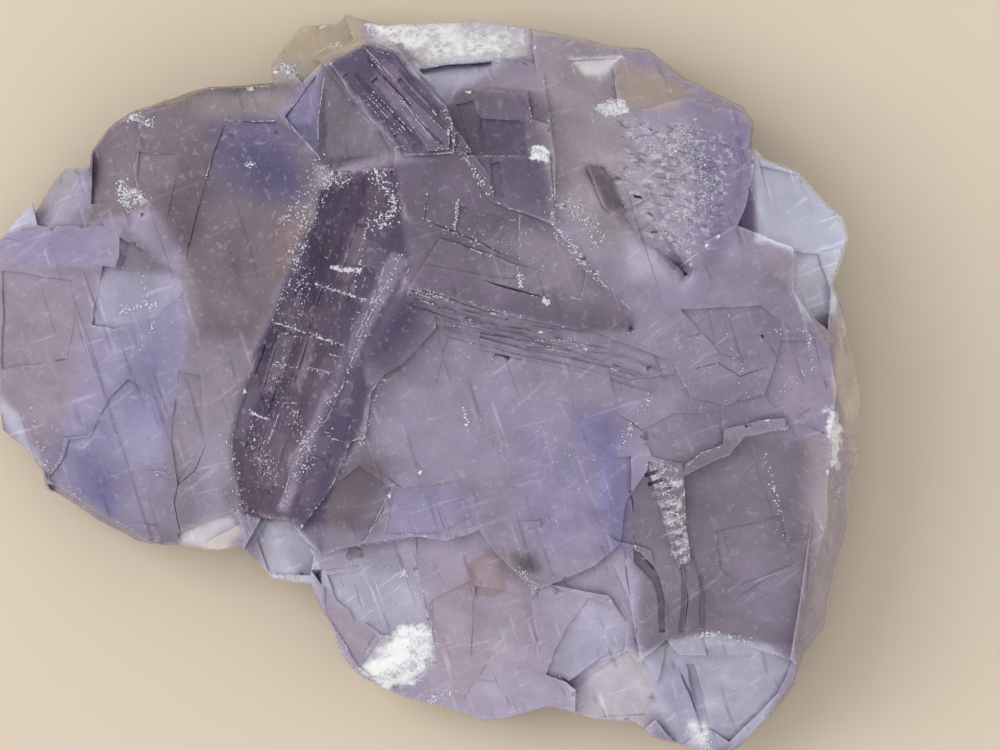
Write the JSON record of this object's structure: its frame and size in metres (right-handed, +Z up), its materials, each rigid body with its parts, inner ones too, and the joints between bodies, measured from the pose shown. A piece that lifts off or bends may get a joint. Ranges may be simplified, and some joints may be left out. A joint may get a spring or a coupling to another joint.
{
  "type": "fluorite crystal",
  "caption": "Lump of see-through violet fluorite: stepped cubes grown into one another, broken off its rock, resting on a flat cut base.",
  "frame": {"origin": "centre of the bounding box in plan, on the flat base", "axes": "+X to the right along the longest extent and +Y to the back, as the specimen is seen from above; +Z up"},
  "size_m": [0.0874, 0.075, 0.0324],
  "materials": {
    "fluorite": "cloudy violet crystal, smooth cleavage faces with fine growth steps and frosted breaks"
  },
  "bodies": {
    "root": {"fluorite_crystal": "fluorite"}
  },
  "joints": []
}
